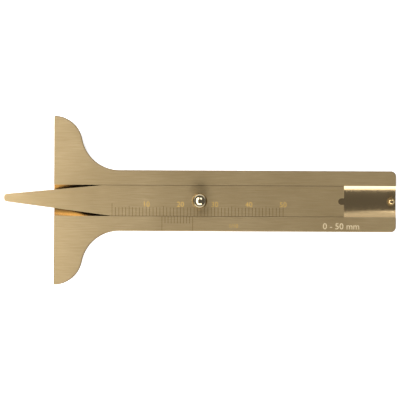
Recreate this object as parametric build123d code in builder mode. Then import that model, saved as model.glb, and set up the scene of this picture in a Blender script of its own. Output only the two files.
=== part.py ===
from build123d import *
import os
from math import asin, atan2, cos, degrees, radians, sin, sqrt, tan

# Sliding tread depth gauge, in millimetres.
# It lies on its back: +X runs away from the probe tip, +Z points out of the graduated face.
# x = 0 is the measuring face, y = 0 the middle of the groove, z = 0 the back.

# Body plate
body_length = 100.0
body_thickness = 4.0
rail_width = 17.8
head_width = 49.4
nose_radius = 8.3
flare_radius = 11.1
end_corner_radius = 1.5
edge_break = 0.25

# Captive groove with leaning lips and a hollow floor
groove_opening = 9.1
lip_depth = 1.6
lip_lean = 20.0
groove_depth = 2.9

# Slide and its running fit
reading_at_rest = 14.6
side_clearance = 0.1
under_clearance = 0.15
tip_width = 2.1
tip_offset = 0.7
tip_radius = 0.8
upper_taper_length = 28.6
lower_taper_length = 31.2

# Stop pin and the notch that meets it when the gauge is closed
pin_from_end = 1.35
pin_diameter = 1.7
pin_height = 3.7
pin_dome_radius = 0.5
pin_collar_diameter = 2.6
pin_collar_height = 0.35
pin_fit = 0.02
pin_seat_depth = 0.1
seat_clearance = 0.1
notch_clearance = 0.1
notch_depth = 1.7
stop_gap = 0.1

# Thumb knob riveted through the slide
knob_from_tip = 57.2
ball_diameter = 4.5
knob_collar_diameter = 3.0
knob_collar_height = 0.3
neck_diameter = 2.2
neck_height = 0.3
shank_diameter = 1.8
shank_fit = 0.02
rivet_diameter = 2.8
rivet_thickness = 0.28
rivet_gap = 0.02

# Leaf spring that brakes the slide, in a channel under it
spring_length = 14.0
spring_width = 3.2
spring_thickness = 0.25
spring_end_gap = 0.03
channel_clearance = 0.1
channel_end_clearance = 1.0
channel_ceiling = 1.85

# Engraved lines
line_width = 0.16
line_depth = 0.06
line_overrun = 0.3
scale_range = 50
scale_zero_from_tip = 31.6
scale_pitch = 1.0
short_line = 2.5
middle_line = 2.9
long_line = 3.7
vernier_divisions = 10
vernier_pitch = 0.9
vernier_line = 2.05

# Places worked out from the sizes
half_opening = groove_opening / 2
lip_slope = tan(radians(lip_lean))
half_groove = half_opening + lip_depth * lip_slope
lip_foot = body_thickness - lip_depth
floor_z = body_thickness - groove_depth
floor_rise = lip_foot - floor_z
floor_radius = (half_groove**2 + floor_rise**2) / (2 * floor_rise)
tip_x = -reading_at_rest
pin_x = body_length - pin_from_end
closed_notch_x = pin_x - pin_diameter / 2 - stop_gap
slide_end = closed_notch_x - reading_at_rest + notch_depth
slide_length = slide_end - tip_x
half_slide = half_opening - side_clearance
slide_foot = lip_foot + under_clearance
half_slide_foot = half_slide + (body_thickness - slide_foot) * lip_slope
knob_x = tip_x + knob_from_tip
pin_seat_z = floor_z - pin_seat_depth
notch_width = pin_diameter + 2 * notch_clearance
channel_width = spring_width + 2 * channel_clearance
channel_start = knob_x - spring_length / 2 - channel_end_clearance
scale_zero_x = tip_x + scale_zero_from_tip
vernier_zero_x = scale_zero_x + reading_at_rest
spring_bottom = channel_ceiling - spring_thickness
rivet_top = spring_bottom - rivet_gap


def floor_height(y):
    """Height of the hollow groove floor at a distance y from its middle."""
    return floor_z + floor_radius - sqrt(floor_radius**2 - y**2)


# Body: one plate with a wide rounded head, and the groove milled along it
nose_centre = Vector(0, head_width / 2 - nose_radius)
flare_y = rail_width / 2 + flare_radius
flare_x = sqrt((nose_radius + flare_radius) ** 2 - (flare_y - nose_centre.Y) ** 2)
join_angle = degrees(atan2(flare_y - nose_centre.Y, flare_x))

with BuildPart() as body:
    with BuildSketch(Plane.XY):
        with BuildLine():
            Line((0, 0), (0, head_width / 2))
            CenterArc(nose_centre, nose_radius, join_angle, 90 - join_angle)
            CenterArc((flare_x, flare_y), flare_radius, 180 + join_angle, 90 - join_angle)
            Line((flare_x, rail_width / 2), (body_length, rail_width / 2))
            Line((body_length, rail_width / 2), (body_length, 0))
            Line((body_length, 0), (0, 0))
        make_face()
        mirror(about=Plane.XZ)
    extrude(amount=body_thickness)
    end_corners = body.edges().filter_by(Axis.Z).group_by(Axis.X)[-1]
    fillet(end_corners, radius=end_corner_radius)
    rims = body.edges().group_by(Axis.Z)[-1] + body.edges().group_by(Axis.Z)[0]
    chamfer([rim for rim in rims if rim.center().X > edge_break], length=edge_break)
    with BuildSketch(Plane.YZ):
        with BuildLine():
            Polyline(
                (-half_groove, lip_foot),
                (-half_opening, body_thickness),
                (half_opening, body_thickness),
                (half_groove, lip_foot),
            )
            ThreePointArc((-half_groove, lip_foot), (0, floor_z), (half_groove, lip_foot))
        make_face()
    extrude(amount=body_length, mode=Mode.SUBTRACT)
    # Flat seat and drilled hole for the stop pin
    with BuildSketch(Plane.XY.offset(pin_seat_z)):
        with Locations((pin_x, 0)):
            Circle(pin_collar_diameter / 2 + seat_clearance)
    extrude(amount=floor_rise, mode=Mode.SUBTRACT)
    with Locations((pin_x, 0, body_thickness)):
        Hole(radius=pin_diameter / 2 + pin_fit)
    # Vernier: the first and last lines cross the whole rail
    with BuildSketch(Plane.XY.offset(body_thickness)):
        for division in range(vernier_divisions + 1):
            at_end = division in (0, vernier_divisions)
            length = (rail_width / 2 - half_opening if at_end else vernier_line) + line_overrun
            line_x = vernier_zero_x + division * vernier_pitch
            line_y = -half_opening + line_overrun - length / 2
            with Locations((line_x, line_y)):
                Rectangle(line_width, length)
    extrude(amount=-line_depth, mode=Mode.SUBTRACT)

# Slide: runs under the lips, and tapers to the probe tip
upper_slope = (half_slide - tip_offset - tip_width / 2) / upper_taper_length
lower_slope = (half_slide + tip_offset - tip_width / 2) / lower_taper_length
plan_half = half_slide_foot + side_clearance
upper_start = tip_x + upper_taper_length + (plan_half - half_slide) / upper_slope
lower_start = tip_x + lower_taper_length + (plan_half - half_slide) / lower_slope

with BuildPart() as slide:
    with BuildSketch(Plane.YZ.offset(tip_x)):
        with BuildLine():
            Polyline(
                (-half_slide_foot, slide_foot),
                (-half_slide, body_thickness),
                (half_slide, body_thickness),
                (half_slide_foot, slide_foot),
            )
            ThreePointArc(
                (-half_slide_foot, slide_foot),
                (0, floor_z + under_clearance),
                (half_slide_foot, slide_foot),
            )
        make_face()
    extrude(amount=slide_length)
    with BuildSketch(Plane.XY) as plan:
        with BuildLine():
            Polyline(
                (tip_x, tip_offset - tip_width / 2),
                (tip_x, tip_offset + tip_width / 2),
                (upper_start, plan_half),
                (slide_end, plan_half),
                (slide_end, -plan_half),
                (lower_start, -plan_half),
                close=True,
            )
        make_face()
        fillet(plan.vertices().group_by(Axis.X)[0], radius=tip_radius)
    extrude(amount=body_thickness, mode=Mode.INTERSECT)
    # Notch that takes the stop pin, with a round bottom
    with BuildSketch(Plane.XY):
        with Locations((slide_end - notch_depth + notch_width / 2, 0)):
            Circle(notch_width / 2)
            Rectangle(notch_depth, notch_width, align=(Align.MIN, Align.CENTER))
    extrude(amount=body_thickness, mode=Mode.SUBTRACT)
    # Channel underneath, open at the end so that it passes over the pin's collar
    with BuildSketch(Plane.XY):
        with Locations((channel_start, 0)):
            Rectangle(slide_end - channel_start, channel_width, align=(Align.MIN, Align.CENTER))
    extrude(amount=channel_ceiling, mode=Mode.SUBTRACT)
    with Locations((knob_x, 0, body_thickness)):
        Hole(radius=shank_diameter / 2 + shank_fit)
    # Millimetre scale along the lower edge
    with BuildSketch(Plane.XY.offset(body_thickness)):
        for mark in range(scale_range + 1):
            # The figures stand over the tens, whose lines are therefore short
            reach = long_line if mark == 0 else middle_line if mark % 10 == 5 else short_line
            length = reach + line_overrun
            line_x = scale_zero_x + mark * scale_pitch
            line_y = -half_slide - line_overrun + length / 2
            with Locations((line_x, line_y)):
                Rectangle(line_width, length)
    extrude(amount=-line_depth, mode=Mode.SUBTRACT)

# Thumb knob: ball, neck, collar, shank and rivet head turned as one
ball_radius = ball_diameter / 2
collar_top = body_thickness + knob_collar_height
neck_top = collar_top + neck_height
ball_z = neck_top + sqrt(ball_radius**2 - (neck_diameter / 2) ** 2)
side_angle = asin((neck_top - ball_z) / ball_radius) / 2
side_point = (ball_radius * cos(side_angle), ball_z + ball_radius * sin(side_angle))

with BuildPart() as thumb_knob:
    with BuildSketch(Plane.XZ) as knob_profile:
        with BuildLine():
            Polyline(
                (0, ball_z + ball_radius),
                (0, rivet_top - rivet_thickness),
                (rivet_diameter / 2, rivet_top - rivet_thickness),
                (rivet_diameter / 2, rivet_top),
                (shank_diameter / 2, rivet_top),
                (shank_diameter / 2, body_thickness),
                (knob_collar_diameter / 2, body_thickness),
                (knob_collar_diameter / 2, collar_top),
                (neck_diameter / 2, collar_top),
                (neck_diameter / 2, neck_top),
            )
            ThreePointArc((neck_diameter / 2, neck_top), side_point, (0, ball_z + ball_radius))
        make_face()
    revolve(axis=Axis.Z)
thumb_knob.part = thumb_knob.part.moved(Location((knob_x, 0, 0)))

# Brake spring: a bowed strip, its crest under the slide and its ends over the floor
spring_low = floor_height(spring_width / 2) + spring_end_gap
spring_sag = spring_bottom - spring_low
spring_left = knob_x - spring_length / 2
spring_right = knob_x + spring_length / 2

with BuildPart() as brake_spring:
    with BuildSketch(Plane.XZ):
        with BuildLine():
            ThreePointArc(
                (spring_left, spring_low),
                (knob_x, spring_bottom),
                (spring_right, spring_low),
            )
            Line((spring_right, spring_low), (spring_right, spring_low + spring_thickness))
            ThreePointArc(
                (spring_right, spring_low + spring_thickness),
                (knob_x, channel_ceiling),
                (spring_left, spring_low + spring_thickness),
            )
            Line((spring_left, spring_low + spring_thickness), (spring_left, spring_low))
        make_face()
    extrude(amount=spring_width / 2, both=True)
    with Locations((knob_x, 0, channel_ceiling)):
        Hole(radius=shank_diameter / 2 + shank_fit)

# Stop pin: domed pin with a collar on its seat and a shank flush with the back
with BuildPart() as stop_pin:
    with BuildSketch(Plane.XY):
        with Locations((pin_x, 0)):
            Circle(pin_diameter / 2)
    extrude(amount=pin_height)
    fillet(stop_pin.edges().group_by(Axis.Z)[-1], radius=pin_dome_radius)
    with BuildSketch(Plane.XY.offset(pin_seat_z)):
        with Locations((pin_x, 0)):
            Circle(pin_collar_diameter / 2)
    extrude(amount=pin_collar_height)

os.makedirs("parts", exist_ok=True)
body.part.label = "body"
export_step(body.part, "parts/body.step")
slide.part.label = "slide"
export_step(slide.part, "parts/slide.step")
thumb_knob.part.label = "thumb_knob"
export_step(thumb_knob.part, "parts/thumb_knob.step")
brake_spring.part.label = "brake_spring"
export_step(brake_spring.part, "parts/brake_spring.step")
stop_pin.part.label = "stop_pin"
export_step(stop_pin.part, "parts/stop_pin.step")
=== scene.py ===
"""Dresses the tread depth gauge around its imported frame, in metres."""

import logging
import math
from dataclasses import dataclass
from enum import Enum
from typing import Any

import bpy
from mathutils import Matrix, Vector

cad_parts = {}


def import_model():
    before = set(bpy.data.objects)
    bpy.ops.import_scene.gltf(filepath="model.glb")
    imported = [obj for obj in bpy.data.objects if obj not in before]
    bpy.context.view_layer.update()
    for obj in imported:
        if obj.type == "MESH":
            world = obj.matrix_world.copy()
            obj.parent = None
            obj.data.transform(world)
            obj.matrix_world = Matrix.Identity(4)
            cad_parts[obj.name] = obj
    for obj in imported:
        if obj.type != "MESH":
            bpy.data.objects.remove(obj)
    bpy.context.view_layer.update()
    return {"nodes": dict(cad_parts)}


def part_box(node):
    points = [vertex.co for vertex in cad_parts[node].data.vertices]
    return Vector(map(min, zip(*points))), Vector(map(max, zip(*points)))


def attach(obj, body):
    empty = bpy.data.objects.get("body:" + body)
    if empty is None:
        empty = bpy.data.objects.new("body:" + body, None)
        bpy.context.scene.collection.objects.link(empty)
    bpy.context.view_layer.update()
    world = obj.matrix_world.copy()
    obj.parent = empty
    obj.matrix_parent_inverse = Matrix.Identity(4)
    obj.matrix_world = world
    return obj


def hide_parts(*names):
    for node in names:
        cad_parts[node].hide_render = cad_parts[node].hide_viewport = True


LOG = logging.getLogger("depth_gauge")
MM = 0.001
# The graduated face of the body and the slide.
FACE_Z = 4.0 * MM
# Above every part of a unit normal, for a band that is open at its top.
OPEN_TOP = 2.0


class Part(Enum):
    """The nodes of the gauge, by the names that the frame gives them."""

    BODY = "body"
    SLIDE = "slide"
    KNOB = "thumb_knob"
    PIN = "stop_pin"
    SPRING = "brake_spring"


def linear(hex_colour: str) -> tuple[float, float, float, float]:
    """Turn an sRGB hex colour to linear.

    Args:
        hex_colour: six hex digits.

    Returns:
        Red, green, blue and an alpha of 1.
    """
    parts = [int(hex_colour[i : i + 2], 16) / 255 for i in (0, 2, 4)]
    red, green, blue = (c / 12.92 if c <= 0.04045 else ((c + 0.055) / 1.055) ** 2.4 for c in parts)
    return red, green, blue, 1.0


def new_material(name: str) -> tuple[bpy.types.Material, bpy.types.NodeTree, bpy.types.Node]:
    """Start a material.

    Args:
        name: its name.

    Returns:
        The material, its node tree and its shader node.
    """
    material = bpy.data.materials.new(name)
    material.use_nodes = True
    tree = material.node_tree
    return material, tree, tree.nodes["Principled BSDF"]


def add_node(
    tree: bpy.types.NodeTree,
    kind: str,
    links: dict[Any, bpy.types.NodeSocket] | None = None,
    values: dict[Any, Any] | None = None,
    **settings: Any,
) -> bpy.types.Node:
    """Add a shader node.

    Args:
        tree: the material's node tree.
        kind: the node's type, without ShaderNode.
        links: input name or number to the socket that feeds it.
        values: input name or number to its fixed value.
        settings: attributes of the node.

    Returns:
        The new node.
    """
    node = tree.nodes.new("ShaderNode" + kind)
    for name, value in settings.items():
        setattr(node, name, value)
    for key, value in (values or {}).items():
        node.inputs[key].default_value = value
    for key, socket in (links or {}).items():
        tree.links.new(socket, node.inputs[key])
    return node


def band(
    tree: bpy.types.NodeTree,
    value: bpy.types.NodeSocket,
    low: float,
    high: float = OPEN_TOP,
) -> bpy.types.NodeSocket:
    """Give 1 where a value lies between two limits, and 0 elsewhere.

    Args:
        tree: the material's node tree.
        value: the socket to test.
        low: lower limit.
        high: upper limit.

    Returns:
        The socket with the result.
    """
    above = add_node(tree, "Math", {0: value}, {1: low}, operation="GREATER_THAN")
    below = add_node(tree, "Math", {0: value}, {1: high}, operation="LESS_THAN")
    links = {0: above.outputs[0], 1: below.outputs[0]}
    return add_node(tree, "Math", links, operation="MULTIPLY").outputs[0]


def select_only(piece: bpy.types.Object) -> None:
    """Select one object and make it active.

    Args:
        piece: the object.
    """
    bpy.ops.object.select_all(action="DESELECT")
    piece.select_set(True)
    bpy.context.view_layer.objects.active = piece


def wear_finish(piece: bpy.types.Object, material: bpy.types.Material) -> None:
    """Give an object one material.

    Args:
        piece: the object.
        material: its finish.
    """
    if piece.material_slots:
        for slot in piece.material_slots:
            slot.material = material
    else:
        piece.data.materials.append(material)


@dataclass(frozen=True)
class BrushedBrass:
    """Brass plate brushed along the rail: long streaks, a sheen that spreads across them."""

    name: str
    colour: str = "B8A480"
    streak_colour: str = "8E7A56"
    # Painted shade: the floors of the engraved lines are drawn darker.
    line_colour: str = "7A6848"
    floor_colour: str = "B8A078"
    # Painted shade: the side walls in the groove, and with them the gaps beside the slide, are drawn
    # dark.
    wall_colour: str = "4E3C26"
    roughness: float = 0.44
    # The groove's floor is polished by the slide, so it mirrors the lamps.
    floor_roughness: float = 0.1
    roughness_swing: float = 0.06
    anisotropy: float = 0.75
    streak_length: float = 5 * MM
    # Real brush lines are about 0.05 mm apart: drawn at 0.3 mm, so that they show.
    streak_spacing: float = 0.3 * MM
    streak_detail: float = 3.0
    relief: float = 0.004 * MM
    # Handling leaves faint clouds about 17 mm across.
    clouds_per_metre: float = 60.0
    cloud_detail: float = 4.0
    colour_lift: float = 0.1
    line_floor_z: float = 3.93 * MM
    line_margin: float = 0.02 * MM
    groove_half: float = 5.3 * MM
    groove_low_z: float = 0.5 * MM
    groove_margin: float = 0.3 * MM
    # Parts of a unit normal: a level floor, the lean of a wall, and its turn to the side.
    level_facing: float = 0.95
    wall_facing_low: float = -0.9
    wall_facing_high: float = 0.8
    wall_sideways: float = 0.3

    def line_mask(
        self,
        tree: bpy.types.NodeTree,
        axes: bpy.types.Node,
        facing: bpy.types.Node,
    ) -> bpy.types.NodeSocket:
        """Mark the floors of the engraved lines, which get a painted shade.

        Args:
            tree: the material's node tree.
            axes: the node with the place's three parts.
            facing: the node with the normal's three parts.

        Returns:
            The socket with the mask.
        """
        level = band(tree, facing.outputs[2], self.level_facing)
        sunk = band(tree, axes.outputs[2], self.line_floor_z, FACE_Z - self.line_margin)
        return add_node(tree, "Math", {0: level, 1: sunk}, operation="MULTIPLY").outputs[0]

    def groove_masks(
        self,
        tree: bpy.types.NodeTree,
        axes: bpy.types.Node,
        facing: bpy.types.Node,
    ) -> tuple[bpy.types.NodeSocket, bpy.types.NodeSocket]:
        """Mark the depth of the groove, and its side walls, which are drawn in a painted shade.

        Args:
            tree: the material's node tree.
            axes: the node with the place's three parts.
            facing: the node with the normal's three parts.

        Returns:
            The sockets with the two masks.
        """
        inside = band(tree, axes.outputs[1], -self.groove_half, self.groove_half)
        low = band(tree, axes.outputs[2], self.groove_low_z, self.line_floor_z - self.groove_margin)
        groove = add_node(tree, "Math", {0: inside, 1: low}, operation="MULTIPLY")
        # The walls that face across the groove get the painted shade.
        steep = band(tree, facing.outputs[2], self.wall_facing_low, self.wall_facing_high)
        sideways = add_node(tree, "Math", {0: facing.outputs[1]}, operation="ABSOLUTE")
        across_wall = band(tree, sideways.outputs[0], self.wall_sideways)
        milled = add_node(tree, "Math", {0: inside, 1: steep}, operation="MULTIPLY")
        wall_shade_mask = add_node(tree, "Math", {0: milled.outputs[0], 1: across_wall}, operation="MULTIPLY")
        return groove.outputs[0], wall_shade_mask.outputs[0]

    def make(self) -> bpy.types.Material:
        """Build the material.

        Returns:
            The finished material.
        """
        material, tree, shader = new_material(self.name)
        place = add_node(tree, "TexCoord").outputs["Object"]
        stretch = (1 / self.streak_length, 1 / self.streak_spacing, 1 / self.streak_spacing)
        along = add_node(tree, "Mapping", {0: place}, {"Scale": stretch})
        fine = {"Scale": 1.0, "Detail": self.streak_detail}
        streaks = add_node(tree, "TexNoise", {0: along.outputs[0]}, fine)
        coarse = {"Scale": self.clouds_per_metre, "Detail": self.cloud_detail}
        cloud = add_node(tree, "TexNoise", {0: place}, coarse)
        blend = add_node(
            tree,
            "Math",
            {0: streaks.outputs[0], 1: cloud.outputs[0]},
            {2: self.colour_lift},
            operation="MULTIPLY_ADD",
            use_clamp=True,
        )
        brushed = add_node(
            tree,
            "Mix",
            {0: blend.outputs[0]},
            {6: linear(self.streak_colour), 7: linear(self.colour)},
            data_type="RGBA",
        )
        normal = add_node(tree, "NewGeometry").outputs["True Normal"]
        axes = add_node(tree, "SeparateXYZ", {0: place})
        facing = add_node(tree, "SeparateXYZ", {0: normal})
        line_shade_mask = self.line_mask(tree, axes, facing)
        groove, wall_shade_mask = self.groove_masks(tree, axes, facing)
        # Painted shade: a darker colour on the floors of the engraved lines.
        line_shaded = add_node(
            tree,
            "Mix",
            {0: line_shade_mask, 6: brushed.outputs[2]},
            {7: linear(self.line_colour)},
            data_type="RGBA",
        )
        floored = add_node(
            tree,
            "Mix",
            {0: groove, 6: line_shaded.outputs[2]},
            {7: linear(self.floor_colour)},
            data_type="RGBA",
        )
        # Painted shade: the groove's side walls take the dark wall colour.
        wall_shaded = add_node(
            tree,
            "Mix",
            {0: wall_shade_mask, 6: floored.outputs[2]},
            {7: linear(self.wall_colour)},
            data_type="RGBA",
        )
        finish = add_node(
            tree,
            "Mix",
            {0: groove},
            {2: self.roughness, 3: self.floor_roughness},
            data_type="FLOAT",
        )
        varied = add_node(
            tree,
            "Math",
            {0: cloud.outputs[0], 2: finish.outputs[0]},
            {1: self.roughness_swing},
            operation="MULTIPLY_ADD",
        )
        bump = add_node(tree, "Bump", {"Height": streaks.outputs[0]}, {"Distance": self.relief})
        across = add_node(tree, "CombineXYZ", values={1: 1.0})
        tree.links.new(wall_shaded.outputs[2], shader.inputs["Base Color"])
        tree.links.new(varied.outputs[0], shader.inputs["Roughness"])
        tree.links.new(bump.outputs[0], shader.inputs["Normal"])
        tree.links.new(across.outputs[0], shader.inputs["Tangent"])
        shader.inputs["Metallic"].default_value = 1.0
        shader.inputs["Anisotropic"].default_value = self.anisotropy
        return material


@dataclass(frozen=True)
class PolishedMetal:
    """Turned and polished metal: even colour, faint clouding, sharp reflections."""

    name: str
    colour: str
    cloud_colour: str
    roughness: float
    roughness_swing: float = 0.06
    cloud_size: float = 1.5 * MM
    cloud_detail: float = 3.0

    def make(self) -> bpy.types.Material:
        """Build the material.

        Returns:
            The finished material.
        """
        material, tree, shader = new_material(self.name)
        place = add_node(tree, "TexCoord").outputs["Object"]
        clouding = {"Scale": 1 / self.cloud_size, "Detail": self.cloud_detail}
        cloud = add_node(tree, "TexNoise", {0: place}, clouding)
        colour = add_node(
            tree,
            "Mix",
            {0: cloud.outputs[0]},
            {6: linear(self.colour), 7: linear(self.cloud_colour)},
            data_type="RGBA",
        )
        varied = add_node(
            tree,
            "Math",
            {0: cloud.outputs[0]},
            {1: self.roughness_swing, 2: self.roughness},
            operation="MULTIPLY_ADD",
        )
        tree.links.new(colour.outputs[2], shader.inputs["Base Color"])
        tree.links.new(varied.outputs[0], shader.inputs["Roughness"])
        shader.inputs["Metallic"].default_value = 1.0
        return material


@dataclass(frozen=True)
class EngravedFill:
    """Lacquer rubbed into the engraved figures: matt, slightly uneven."""

    name: str
    colour: str
    worn_colour: str
    roughness: float = 0.6
    # The brass under the lacquer shines through a little.
    metallic: float = 0.3
    wear_size: float = 0.5 * MM
    wear_detail: float = 2.0

    def make(self) -> bpy.types.Material:
        """Build the material.

        Returns:
            The finished material.
        """
        material, tree, shader = new_material(self.name)
        place = add_node(tree, "TexCoord").outputs["Object"]
        wearing = {"Scale": 1 / self.wear_size, "Detail": self.wear_detail}
        wear = add_node(tree, "TexNoise", {0: place}, wearing)
        colour = add_node(
            tree,
            "Mix",
            {0: wear.outputs[0]},
            {6: linear(self.colour), 7: linear(self.worn_colour)},
            data_type="RGBA",
        )
        tree.links.new(colour.outputs[2], shader.inputs["Base Color"])
        shader.inputs["Roughness"].default_value = self.roughness
        shader.inputs["Metallic"].default_value = self.metallic
        return material


@dataclass
class Plate:
    """The body and the stop pin that stays with it."""

    brass: BrushedBrass = BrushedBrass("brushed_brass_body")
    pin_metal: PolishedMetal = PolishedMetal("turned_brass_pin", "E2C590", "CDAF79", 0.18)

    def dress(self, nodes: dict[str, bpy.types.Object]) -> None:
        """Give the body and its pin their finishes.

        Args:
            nodes: node name to its object.
        """
        wear_finish(nodes[Part.BODY.value], self.brass.make())
        wear_finish(nodes[Part.PIN.value], self.pin_metal.make())


@dataclass
class Slide:
    """The graduated slide and the spring under it."""

    # The slide's side walls get a lighter painted shade than the body's.
    brass: BrushedBrass = BrushedBrass("brushed_brass_slide", "B6A27E", "8C7854", wall_colour="806A46")
    bronze: PolishedMetal = PolishedMetal("rolled_phosphor_bronze", "A9764A", "94663E", 0.35)

    def dress(self, nodes: dict[str, bpy.types.Object]) -> None:
        """Give the slide and its spring their finishes.

        Args:
            nodes: node name to its object.
        """
        wear_finish(nodes[Part.SLIDE.value], self.brass.make())
        wear_finish(nodes[Part.SPRING.value], self.bronze.make())


@dataclass
class Knob:
    """The polished ball that the thumb pushes, on its neck and collar, riveted under the slide."""

    ball_diameter: float = 4.5 * MM
    neck_diameter: float = 2.2 * MM
    neck_height: float = 0.3 * MM
    collar_diameter: float = 3.0 * MM
    collar_height: float = 0.3 * MM
    shank_diameter: float = 1.8 * MM
    rivet_diameter: float = 2.8 * MM
    rivet_thickness: float = 0.28 * MM
    steps: int = 64
    rings: int = 24
    merge_distance: float = 0.001 * MM
    # Below this angle an edge is smooth, so the ball is, and the collar's edges stay sharp.
    smooth_angle: float = math.radians(35)
    nickel: PolishedMetal = PolishedMetal("polished_nickel_knob", "B8AA8C", "A8997A", 0.07)

    def profile(self, foot_z: float) -> list[tuple[float, float]]:
        """Work out the turned outline.

        Args:
            foot_z: height of the rivet head's underside.

        Returns:
            Radius and height of each point, from the rivet head to the top of the ball.
        """
        ball = self.ball_diameter / 2
        neck = self.neck_diameter / 2
        collar = self.collar_diameter / 2
        shank = self.shank_diameter / 2
        rivet = self.rivet_diameter / 2
        rivet_top = foot_z + self.rivet_thickness
        collar_top = FACE_Z + self.collar_height
        neck_top = collar_top + self.neck_height
        centre = neck_top + math.sqrt(ball**2 - neck**2)
        start = math.asin((neck_top - centre) / ball)
        points = [
            (0.0, foot_z),
            (rivet, foot_z),
            (rivet, rivet_top),
            (shank, rivet_top),
            (shank, FACE_Z),
            (collar, FACE_Z),
            (collar, collar_top),
            (neck, collar_top),
        ]
        for ring in range(self.rings + 1):
            angle = start + (math.pi / 2 - start) * ring / self.rings
            points.append((max(0.0, ball * math.cos(angle)), centre + ball * math.sin(angle)))
        return points

    def build(self) -> bpy.types.Object:
        """Spin the outline about the knob's axis.

        Returns:
            The knob, riding on the slide.
        """
        low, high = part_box(Part.KNOB.value)
        axis_x = (low[0] + high[0]) / 2
        outline = self.profile(low[2])
        corners = [(axis_x + radius, 0.0, height) for radius, height in outline]
        edges = [(i, i + 1) for i in range(len(outline) - 1)]
        mesh = bpy.data.meshes.new("thumb_ball")
        mesh.from_pydata(corners, edges, [])
        ball = bpy.data.objects.new("thumb_ball", mesh)
        bpy.context.scene.collection.objects.link(ball)
        select_only(ball)
        bpy.ops.object.mode_set(mode="EDIT")
        bpy.ops.mesh.select_all(action="SELECT")
        bpy.ops.mesh.spin(steps=self.steps, angle=math.tau, center=(axis_x, 0, 0), axis=(0, 0, 1))
        bpy.ops.mesh.select_all(action="SELECT")
        bpy.ops.mesh.remove_doubles(threshold=self.merge_distance)
        bpy.ops.mesh.normals_make_consistent(inside=False)
        bpy.ops.object.mode_set(mode="OBJECT")
        bpy.ops.object.shade_smooth_by_angle(angle=self.smooth_angle)
        wear_finish(ball, self.nickel.make())
        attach(ball, Part.SLIDE.value)
        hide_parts(Part.KNOB.value)
        return ball


@dataclass
class Figures:
    """Figures and words engraved beside the lines, filled with lacquer."""

    # How far an inlay reaches into the metal, and how far it stands out of it.
    sink: float = 0.03 * MM
    stand: float = 0.004 * MM
    figure_height: float = 1.5 * MM
    figure_y: float = -1.1 * MM
    scale_zero_from_tip: float = 31.6 * MM
    decade: float = 10 * MM
    decades: int = 5
    rail_mark_y: float = -7.35 * MM
    range_mark_x: float = 84.0 * MM
    range_mark_height: float = 1.8 * MM
    vernier_mark_x: float = 52.5 * MM
    vernier_mark_height: float = 1.1 * MM
    # A figure is this much of its font's size.
    figure_share: float = 0.7
    curve_steps: int = 3
    gold: EngravedFill = EngravedFill("gold_lacquer_figures", "BC9A52", "A88848")
    pale: EngravedFill = EngravedFill("pale_lacquer_letters", "D8C6A2", "C6B28C")

    def letter(
        self,
        name: str,
        words: str,
        height: float,
        place: tuple[float, float],
        body: Part,
    ) -> bpy.types.Object:
        """Make one inlaid word or number.

        Args:
            name: the piece's name.
            words: what it says.
            height: height of a figure.
            place: its middle, along the rail and across it.
            body: the part that carries it.

        Returns:
            The inlay, riding on that part's body.
        """
        bpy.ops.object.select_all(action="DESELECT")
        bpy.ops.object.text_add(location=(0, 0, 0))
        text = bpy.context.object
        text.name = name
        text.data.body = words
        text.data.align_x = "CENTER"
        text.data.align_y = "CENTER"
        text.data.size = height / self.figure_share
        text.data.extrude = (self.sink + self.stand) / 2
        text.data.resolution_u = self.curve_steps
        bpy.ops.object.convert(target="MESH")
        piece = bpy.context.object
        piece.location = (*place, FACE_Z + (self.stand - self.sink) / 2)
        bpy.ops.object.transform_apply(location=True, rotation=True, scale=True)
        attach(piece, body.value)
        return piece

    def build(self) -> list[bpy.types.Object]:
        """Make all figures.

        Returns:
            The inlays.
        """
        gold = self.gold.make()
        pale = self.pale.make()
        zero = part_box(Part.SLIDE.value)[0][0] + self.scale_zero_from_tip
        pieces = []
        for count in range(1, self.decades + 1):
            reading = count * self.decade
            label = str(round(reading / MM))
            place = (zero + reading, self.figure_y)
            piece = self.letter("scale_" + label, label, self.figure_height, place, Part.SLIDE)
            wear_finish(piece, gold)
            pieces.append(piece)
        place = (self.vernier_mark_x, self.rail_mark_y)
        mark = self.letter("vernier_mark", "1/10", self.vernier_mark_height, place, Part.BODY)
        wear_finish(mark, gold)
        pieces.append(mark)
        place = (self.range_mark_x, self.rail_mark_y)
        reach = self.letter("range_mark", "0 - 50 mm", self.range_mark_height, place, Part.BODY)
        wear_finish(reach, pale)
        pieces.append(reach)
        return pieces


@dataclass(frozen=True)
class SoftBox:
    """A soft box: its middle, its width and height, its power in watts and the place that it faces."""

    name: str
    place: tuple[float, float, float]
    size: tuple[float, float]
    power: float
    aim_x: float

    def hang(self) -> None:
        """Hang the soft box, turned to its place along the gauge."""
        data = bpy.data.lights.new(self.name, "AREA")
        data.shape = "RECTANGLE"
        data.size, data.size_y = self.size
        data.energy = self.power
        lamp = bpy.data.objects.new(self.name, data)
        lamp.location = self.place
        aim = Vector((self.aim_x, 0, 0)) - Vector(self.place)
        lamp.rotation_euler = aim.to_track_quat("-Z", "Y").to_euler()
        bpy.context.scene.collection.objects.link(lamp)


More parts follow.
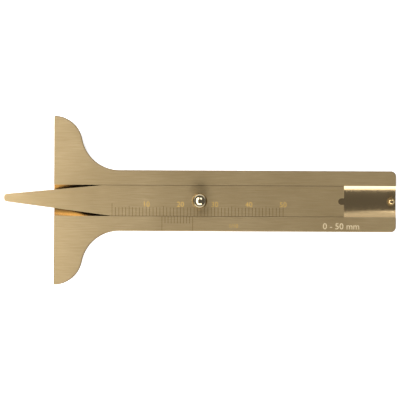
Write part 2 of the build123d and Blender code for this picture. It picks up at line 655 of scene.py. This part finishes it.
@dataclass
class Studio:
    """White table, soft boxes and the camera straight above."""

    middle_x: float = 42.7 * MM
    middle_y: float = 0.26 * MM
    camera_height: float = 1.2
    frame_width: float = 116.9 * MM
    sensor: float = 36.0
    roll: float = math.radians(0.28)
    table_size: float = 3.0
    # The table lies a hair under the gauge, so that the two faces never show through each other.
    table_z: float = -0.02 * MM
    table_colour: str = "F2F2F2"
    table_roughness: float = 0.9
    table_glow: float = 0.6
    world_level: float = 0.2

    def camera(self) -> None:
        """Place the camera over the gauge, at the photograph's scale and slight turn."""
        data = bpy.data.cameras.new("camera")
        data.sensor_width = self.sensor
        data.lens = self.sensor * (self.camera_height - FACE_Z) / self.frame_width
        camera = bpy.data.objects.new("camera", data)
        camera.location = (self.middle_x, self.middle_y, self.camera_height)
        camera.rotation_euler = (0, 0, self.roll)
        bpy.context.scene.collection.objects.link(camera)
        bpy.context.scene.camera = camera

    def table(self) -> None:
        """Lay the white table, which shows white to the camera and keeps the gauge's shadow."""
        bpy.ops.object.select_all(action="DESELECT")
        bpy.ops.mesh.primitive_plane_add(size=self.table_size, location=(self.middle_x, 0, self.table_z))
        table = bpy.context.object
        table.name = "table"
        material, tree, shader = new_material("matt_white_card")
        shader.inputs["Base Color"].default_value = linear(self.table_colour)
        shader.inputs["Roughness"].default_value = self.table_roughness
        seen = add_node(tree, "LightPath").outputs["Is Camera Ray"]
        amount = add_node(tree, "Math", {0: seen}, {1: self.table_glow}, operation="MULTIPLY")
        glow = add_node(tree, "Emission", {"Strength": amount.outputs[0]})
        both = add_node(tree, "AddShader", {0: shader.outputs[0], 1: glow.outputs[0]})
        tree.links.new(both.outputs[0], tree.nodes["Material Output"].inputs["Surface"])
        wear_finish(table, material)

    def light(self) -> None:
        """Set the dim white surroundings and hang the soft boxes."""
        world = bpy.data.worlds.new("studio")
        world.use_nodes = True
        background = world.node_tree.nodes["Background"]
        background.inputs[0].default_value = (1, 1, 1, 1)
        background.inputs[1].default_value = self.world_level
        bpy.context.scene.world = world
        middle = self.middle_x
        boxes = (
            SoftBox(
                name="front_box",
                place=(middle, -0.75, 0.6),
                size=(1.0, 0.42),
                power=6.4,
                aim_x=middle,
            ),
            SoftBox(
                name="back_box",
                place=(middle, 0.75, 0.8),
                size=(1.2, 0.35),
                power=1.2,
                aim_x=middle,
            ),
            SoftBox(
                name="back_left_box",
                place=(middle - 0.28, 0.42, 0.6),
                size=(0.32, 0.32),
                power=1.5,
                aim_x=middle,
            ),
            SoftBox(
                name="back_right_box",
                place=(middle + 0.28, 0.42, 0.6),
                size=(0.32, 0.32),
                power=1.2,
                aim_x=middle,
            ),
            SoftBox(
                name="tip_box",
                place=(-0.1, 0.0, 0.16),
                size=(0.14, 0.4),
                power=0.85,
                aim_x=-0.1,
            ),
        )
        for box in boxes:
            box.hang()

    def build(self) -> None:
        """Set up the whole studio."""
        self.camera()
        self.table()
        self.light()


def main() -> None:
    """Build and dress the gauge, then set up the studio."""
    logging.basicConfig(level=logging.INFO)
    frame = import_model()
    bpy.context.scene.view_settings.view_transform = "Standard"
    nodes = {part.value: frame["nodes"][part.value] for part in Part}
    Plate().dress(nodes)
    LOG.info("body and stop pin dressed")
    Slide().dress(nodes)
    LOG.info("slide and brake spring dressed")
    LOG.info("knob built: %s", Knob().build().name)
    LOG.info("figures built: %d", len(Figures().build()))
    Studio().build()
    LOG.info("studio built")


if __name__ == "__main__":
    main()
